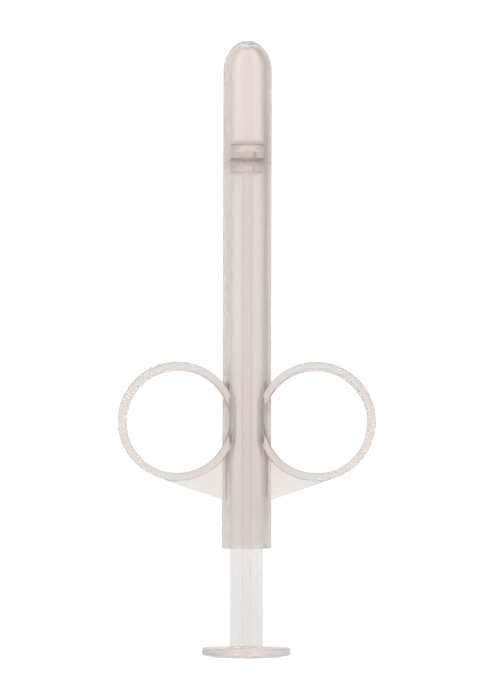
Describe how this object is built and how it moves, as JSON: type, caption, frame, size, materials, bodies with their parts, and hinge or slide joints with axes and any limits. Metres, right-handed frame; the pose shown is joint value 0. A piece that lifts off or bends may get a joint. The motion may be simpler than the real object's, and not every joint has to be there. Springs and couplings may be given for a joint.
{
  "type": "plunger applicator",
  "caption": "Needleless plunger applicator: a slim tube with finger rings on both sides, a domed nose cap with an outlet, and a cross-section rod with a thumb disc.",
  "frame": {"origin": "middle of the flat underside of the thumb disc, which it stands on", "axes": "+Z along the tube from the thumb disc to the nose, X across the two finger rings, Y through the finger holes"},
  "size_m": [0.0658, 0.0226, 0.1583],
  "materials": {
    "tube_plastic": "clear moulded, faint warm tint",
    "cap_plastic": "clear moulded, faint warm tint",
    "rod_plastic": "natural translucent, moulded",
    "piston_plastic": "soft natural plastic, moulded",
    "seal_rubber": "matt translucent elastomer"
  },
  "bodies": {
    "plunger": {"plunger_rod": "rod_plastic"},
    "piston_head": {"piston": "piston_plastic", "seal_ring": "seal_rubber"},
    "barrel_body": {"barrel": "tube_plastic", "nose_cap": "cap_plastic"}
  },
  "joints": [
    {"name": "plunger_turn", "type": "hinge", "parent": "plunger", "child": "piston_head", "pos_m": [0, 0, 0.1241], "axis": [0, 0, 1], "continuous": true},
    {"name": "plunger_slide", "type": "slide", "parent": "piston_head", "child": "barrel_body", "axis": [0, 0, 1], "range_m": [-0.0195, 0.09]}
  ]
}
